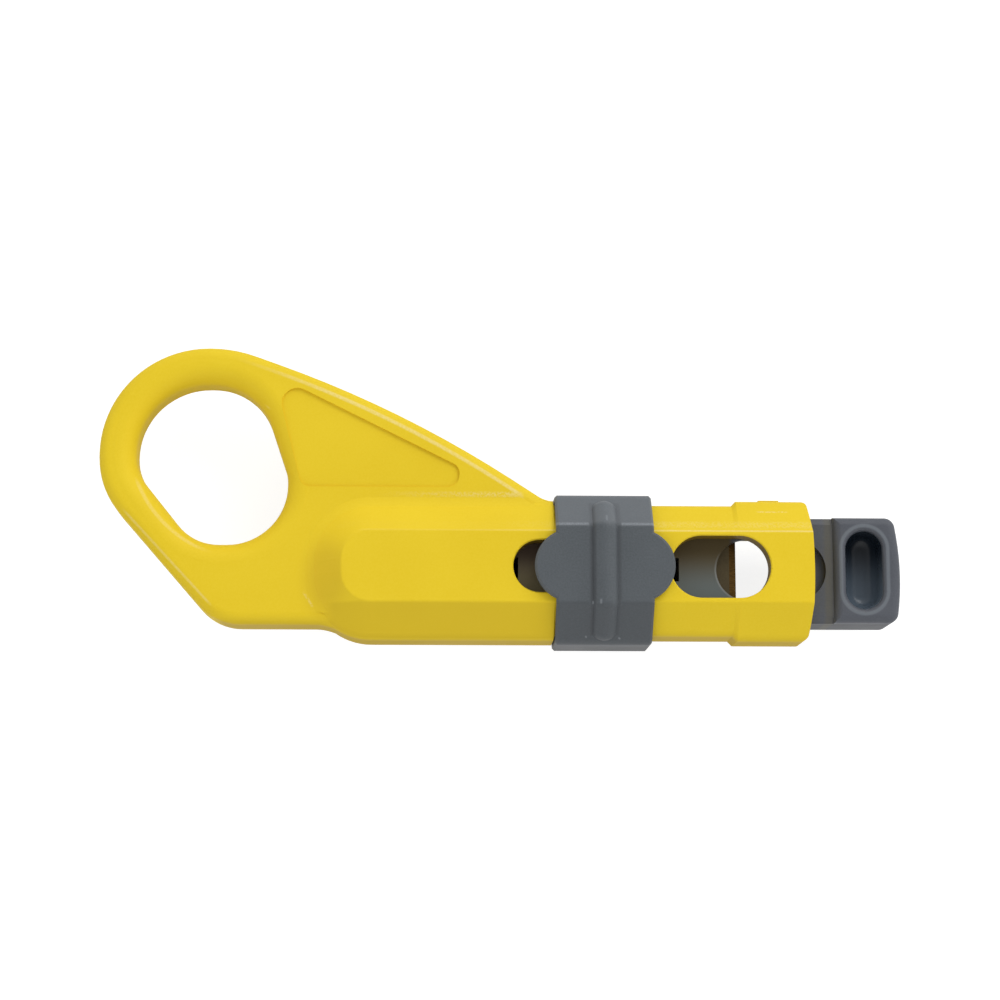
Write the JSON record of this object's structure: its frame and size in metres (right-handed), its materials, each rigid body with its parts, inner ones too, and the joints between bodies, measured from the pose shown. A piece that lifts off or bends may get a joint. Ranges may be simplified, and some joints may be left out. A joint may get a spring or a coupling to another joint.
{
  "type": "coaxial cable stripper",
  "caption": "Hand stripper for coaxial cable: a finger ring and beveled tube in one moulding, a sprung slider with blades and thumb pad, and a clip that slides over the cable port.",
  "frame": {"origin": "under the middle of the tool's bounding box, on the plane that the cover clip's back lips rest on", "axes": "+X along the tube towards the thumb pad, +Y towards the ring's high side, +Z out of the front face with the cable port"},
  "size_m": [0.1271, 0.0476, 0.0223],
  "materials": {
    "yellow_plastic": "satin moulded",
    "gray_plastic": "satin moulded",
    "dark_plastic": "matt moulded",
    "blade_steel": "ground",
    "plain_steel": "bright",
    "spring_steel": "drawn wire"
  },
  "bodies": {
    "housing": {"housing": "yellow_plastic", "stop_pin": "plain_steel", "spring_guide": "plain_steel", "return_spring": "spring_steel"},
    "slider": {"slider": "gray_plastic", "blade_carrier": "dark_plastic", "carrier_cover": "dark_plastic", "front_blade": "blade_steel", "back_blade": "blade_steel", "upper_dowel": "plain_steel", "lower_dowel": "plain_steel", "upper_screw": "plain_steel", "lower_screw": "plain_steel"},
    "clip": {"cover_clip": "gray_plastic"}
  },
  "joints": [
    {"name": "slider_push", "type": "slide", "parent": "housing", "child": "slider", "axis": [-1, 0, 0], "range_m": [0, 0.0028], "stiffness_N_per_m": 800, "springref_m": -0.006, "deforming": ["return_spring"]},
    {"name": "clip_slide", "type": "slide", "parent": "housing", "child": "clip", "axis": [1, 0, 0], "range_m": [0, 0.0128]}
  ]
}
